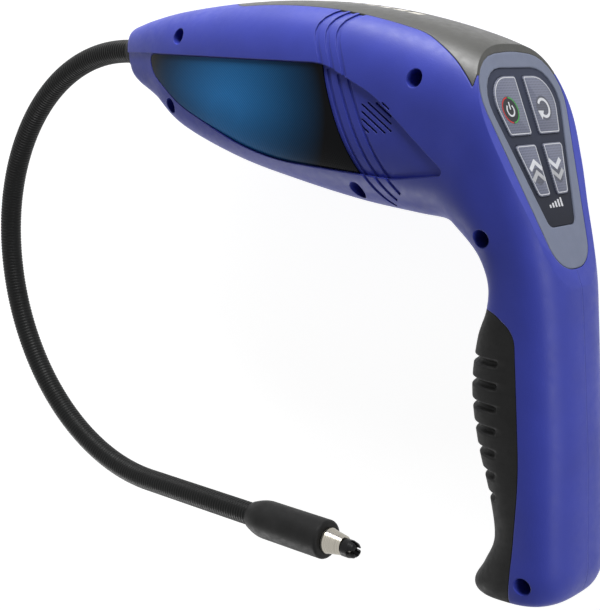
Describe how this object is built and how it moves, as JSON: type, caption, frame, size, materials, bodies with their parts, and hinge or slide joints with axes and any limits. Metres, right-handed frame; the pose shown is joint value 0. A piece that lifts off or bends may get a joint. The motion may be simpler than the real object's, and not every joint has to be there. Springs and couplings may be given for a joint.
{
  "type": "refrigerant leak detector",
  "caption": "Hand-held refrigerant leak detector: pistol-shaped housing with a keypad on its sloping back, indicator lights on top, a ribbed grip and a flexible stay-put probe neck.",
  "frame": {"origin": "centre of the outline on the surface the detector lies on, under its right side", "axes": "+X towards the detector's back, +Y towards its top, +Z towards its left side, which faces up as it lies on its right side"},
  "size_m": [0.334, 0.222, 0.0584],
  "materials": {
    "blue_plastic": "satin moulded plastic",
    "grey_plastic": "satin moulded plastic",
    "clear_plastic": "translucent white lens",
    "overlay": "printed film",
    "key_grey": "dotted rubber with a pale outline",
    "label": "glossy film",
    "grip_rubber": "soft black rubber",
    "neck_black": "black ribbed sheath",
    "bright_steel": "turned and polished",
    "black_plastic": "moulded",
    "ceramic": "plain",
    "board_green": "solder mask",
    "cell_can": "satin",
    "screw_steel": "zinc plated"
  },
  "bodies": {
    "housing": {"housing_left": "blue_plastic", "housing_right": "blue_plastic", "top_cover": "grey_plastic", "light_bar": "clear_plastic", "keypad_overlay": "overlay", "label_left": "label", "front_grip": "grip_rubber", "neck_collar": "grip_rubber", "neck_link_1": "neck_black", "main_board": "board_green", "key_board": "board_green", "light_board": "board_green", "speaker": "black_plastic", "battery_tray": "black_plastic", "cell_1": "cell_can", "cell_2": "cell_can", "cell_3": "cell_can", "cell_4": "cell_can", "contact_springs": "screw_steel", "case_screws": "screw_steel"},
    "key_power": {"key_power": "key_grey"},
    "key_reset": {"key_reset": "key_grey"},
    "key_up": {"key_up": "key_grey"},
    "key_down": {"key_down": "key_grey"},
    "neck_two": {"neck_link_2": "neck_black"},
    "neck_three": {"neck_link_3": "neck_black"},
    "neck_four": {"neck_link_4": "neck_black"},
    "neck_five": {"neck_link_5": "neck_black"},
    "neck_six": {"neck_link_6": "neck_black"},
    "probe": {"neck_link_7": "neck_black", "tip_sleeve": "grip_rubber", "tip_cone": "bright_steel", "sensor_cap": "black_plastic", "sensor_element": "ceramic"}
  },
  "joints": [
    {"name": "key_power_press", "type": "slide", "parent": "housing", "child": "key_power", "axis": [-0.9285, -0.3714, 0], "range_m": [0, 0.0005], "stiffness_N_per_m": 2000, "springref_m": -0.0004},
    {"name": "key_reset_press", "type": "slide", "parent": "housing", "child": "key_reset", "axis": [-0.9285, -0.3714, 0], "range_m": [0, 0.0005], "stiffness_N_per_m": 2000, "springref_m": -0.0004},
    {"name": "key_up_press", "type": "slide", "parent": "housing", "child": "key_up", "axis": [-0.9285, -0.3714, 0], "range_m": [0, 0.0005], "stiffness_N_per_m": 2000, "springref_m": -0.0004},
    {"name": "key_down_press", "type": "slide", "parent": "housing", "child": "key_down", "axis": [-0.9285, -0.3714, 0], "range_m": [0, 0.0005], "stiffness_N_per_m": 2000, "springref_m": -0.0004},
    {"name": "neck_base_bend", "type": "hinge", "parent": "housing", "child": "neck_two", "pos_m": [-0.1152, 0.07991, 0.029], "axis": [0, 0, 1], "range_deg": [-25, 10]},
    {"name": "neck_second_turn", "type": "hinge", "parent": "neck_two", "child": "neck_three", "pos_m": [-0.14946, 0.04565, 0.029], "axis": [-0.866, 0.5, 0], "range_deg": [-25, 25]},
    {"name": "neck_third_bend", "type": "hinge", "parent": "neck_three", "child": "neck_four", "pos_m": [-0.162, -0.00115, 0.029], "axis": [0, 0, 1], "range_deg": [-25, 10]},
    {"name": "neck_fourth_turn", "type": "hinge", "parent": "neck_four", "child": "neck_five", "pos_m": [-0.14839, -0.05195, 0.029], "axis": [-0.866, -0.5, 0], "range_deg": [-25, 25]},
    {"name": "neck_fifth_bend", "type": "hinge", "parent": "neck_five", "child": "neck_six", "pos_m": [-0.1112, -0.08914, 0.029], "axis": [0, 0, 1], "range_deg": [-25, 10]},
    {"name": "neck_tip_turn", "type": "hinge", "parent": "neck_six", "child": "probe", "pos_m": [-0.0604, -0.10275, 0.029], "axis": [0, -1, 0], "range_deg": [-25, 25]}
  ]
}
